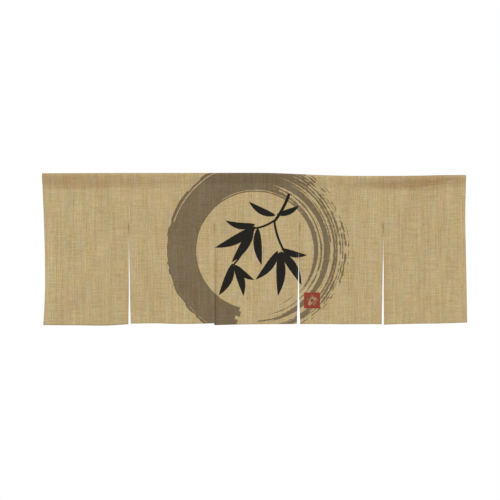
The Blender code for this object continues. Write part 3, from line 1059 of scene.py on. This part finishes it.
def brushed(clumps, spread):
    """Where these clumps leave ink. While it is wet it spreads, but for that beyond the ring's edge."""
    covered = 0.0
    for clump in clumps:
        row = {"Lane": lane, "Way": way, "Fray": fray, "Dashes": dashes, "Dashed": clump.dashed}
        row |= {"Middle": clump.lane, "Half Width": clump.width / 2}
        row |= {"Start": clump.start, "End": clump.end, "Spread": spread if clump.lane < 1 else 0.0}
        covered = sums(figure, "MAXIMUM", use_group(figure, bristles, row)["Ink"], covered)
    return covered


ring = brushed(CLUMPS, spread)
bare = brushed(BARE_LINES, 0.0)
# While the brush is wet its edges are even, and the ink gathers along them
edge = sums(figure, "MULTIPLY_ADD", flecks, 0.02, lane)
within = product(figure, between(figure, edge, 1.080, 1.070), between(figure, edge, -0.012, -0.004))
ring = product(figure, ring, within, sums(figure, "SUBTRACT", 1.0, bare))
feed(figure, out["Ring"], ring)
at_hole = between(figure, lane, 0.0, 0.03, 0.9, 0.0)
at_rim = between(figure, lane, 0.97, 1.0, 0.0, 0.6)
gathered = sums(figure, "MAXIMUM", at_hole, at_rim)
gathered = product(figure, gathered, between(figure, way, 0.50, 0.42))
first = between(figure, way, 0.03, 0.12, 0.8, 0.0)
feed(figure, out["Pooled"], sums(figure, "MAXIMUM", gathered, first))

ragged = noise(figure, away, (0.35, 0.35, 4.0), detail=3.0)
ragged = sums(figure, "MULTIPLY_ADD", ragged, 0.24, 0.88)
ink = 0.0
for strokes, (root_taper, tip_taper) in ((LEAVES, LEAF_TAPER), (STEMS, STEM_TAPER)):
    widest = root_taper / (root_taper + tip_taper)
    fullest = widest**root_taper * (1 - widest) ** tip_taper
    for row in strokes:
        drawn = {"Place": away, "Root": (row.across, row.height, 0.0), "Turn": radians(row.turn)}
        drawn |= {"Length": row.length, "Half Width": row.width / 2 / fullest, "Bow": row.bow}
        drawn |= {"Root Taper": root_taper, "Tip Taper": tip_taper, "Ragged": ragged}
        ink = sums(figure, "MAXIMUM", use_group(figure, stroke, drawn)["Ink"], ink)
feed(figure, out["Ink"], ink)

# The stamp is a worn square of red paste, with a five-petalled blossom left bare in it
in_stamp = vectors(figure, "SUBTRACT", away, STAMP_PLACE)
worn = noise(figure, away, (0.5, 0.5, 9.0), detail=3.0)
wide, high, _ = parts_of(figure, vectors(figure, "ABSOLUTE", in_stamp))
farthest = sums(figure, "MAXIMUM", wide, high)
farthest = sums(figure, "MULTIPLY_ADD", sums(figure, "SUBTRACT", worn, 0.5), STAMP_WORN, farthest)
square = between(figure, farthest, STAMP_HALF + 0.5, STAMP_HALF - 0.5)
aside, up, _ = parts_of(figure, in_stamp)
petal = product(figure, sums(figure, "ARCTAN2", aside, up), PETALS / 2)
petal = sums(figure, "POWER", sums(figure, "ABSOLUTE", sums(figure, "COSINE", petal)), PETAL_ROUND)
reach = sums(figure, "MULTIPLY_ADD", petal, PETAL_REACH, BLOSSOM_WAIST)
from_middle = vectors(figure, "LENGTH", in_stamp, out=LENGTH_OUT)
blossom = between(figure, sums(figure, "SUBTRACT", reach, from_middle), 0.0, 1.2)
blossom = product(figure, blossom, between(figure, from_middle, BLOSSOM_HEART, BLOSSOM_HEART + 1), 0.6)
paste = product(figure, square, sums(figure, "SUBTRACT", 1.0, blossom))
paste = product(figure, paste, between(figure, worn, 0.30, 0.42, 0.6, 1.0))
feed(figure, out["Stamp"], paste)

RING_COLOUR = (0.184, 0.136, 0.0765, 1.0)
POOLED_COLOUR = (0.157, 0.116, 0.0650, 1.0)
INK_COLOUR = (0.0130, 0.0115, 0.0085, 1.0)
STAMP_COLOUR = (0.255, 0.042, 0.024, 1.0)
STRIKES_THROUGH = 0.72


def printing(strength):
    """Adds this much of the print to the colour of the cloth."""

    def add_print(tree, place, colour):
        masks = use_group(tree, figure, {"Place": place})
        ring = blended(tree, masks["Pooled"], RING_COLOUR, POOLED_COLOUR)
        for mask, ink in (("Ring", ring), ("Stamp", STAMP_COLOUR), ("Ink", INK_COLOUR)):
            colour = blended(tree, product(tree, masks[mask], strength), colour, ink)
        return colour

    return add_print


printed_front = cloth_material("printed_cloth_front", printing(1.0))
printed_back = cloth_material("printed_cloth_back", printing(STRIKES_THROUGH))
for panel in PANELS[1:4]:
    dress(hang_panel(panel), panel, printed_front, printed_back)


# The studio: a pale floor far below, an even white surround and one broad soft light from the upper
# left. The camera looks straight at the curtain's front.
FLOOR_LEVEL = -2.0
FLOOR_RADIUS = 2.6
FLOOR_THICK = 0.02
FLOOR_COLOUR = (0.86, 0.86, 0.85, 1.0)
bpy.ops.object.select_all(action="DESELECT")
bpy.ops.mesh.primitive_cylinder_add(
    vertices=96, radius=FLOOR_RADIUS, depth=FLOOR_THICK, location=(0, 0, FLOOR_LEVEL - FLOOR_THICK / 2)
)
floor = bpy.context.object
floor.name = "floor"
pale_floor = bpy.data.materials.new("pale_floor")
pale_floor.use_nodes = True
shader = pale_floor.node_tree.nodes["Principled BSDF"]
shader.inputs["Base Color"].default_value = FLOOR_COLOUR
shader.inputs["Roughness"].default_value = 0.8
floor.data.materials.append(pale_floor)

SURROUND_LIGHT = 0.62
world = bpy.data.worlds.new("white_surround")
world.use_nodes = True
bpy.context.scene.world = world
tree = world.node_tree
backdrop = tree.nodes["Background"]
backdrop.inputs["Color"].default_value = (1.0, 1.0, 1.0, 1.0)
seen = node(tree, "ShaderNodeLightPath")
feed(tree, backdrop.inputs["Strength"], between(tree, seen, 0.0, 1.0, SURROUND_LIGHT, 1.0))

KEY_STRENGTH = 1.49
KEY_BREADTH = radians(45)
KEY_TURN = (radians(58), 0.0, radians(-12))
bpy.ops.object.light_add(type="SUN", location=(-2.0, -3.0, 2.5))
key = bpy.context.object
key.name = "soft_light"
key.data.energy = KEY_STRENGTH
key.data.angle = KEY_BREADTH
key.rotation_euler = KEY_TURN

CAMERA_DISTANCE = 5.0
VIEW_WIDTH = 2.0
VIEW_CENTRE = (-0.0160, -0.3088)
SENSOR_WIDTH = 36.0
bpy.ops.object.camera_add(
    location=(VIEW_CENTRE[0], -CAMERA_DISTANCE, VIEW_CENTRE[1]), rotation=(radians(90), 0.0, 0.0)
)
camera = bpy.context.object
camera.data.sensor_width = SENSOR_WIDTH
camera.data.lens = SENSOR_WIDTH * CAMERA_DISTANCE / VIEW_WIDTH
bpy.context.scene.camera = camera
bpy.context.scene.view_settings.view_transform = "Standard"
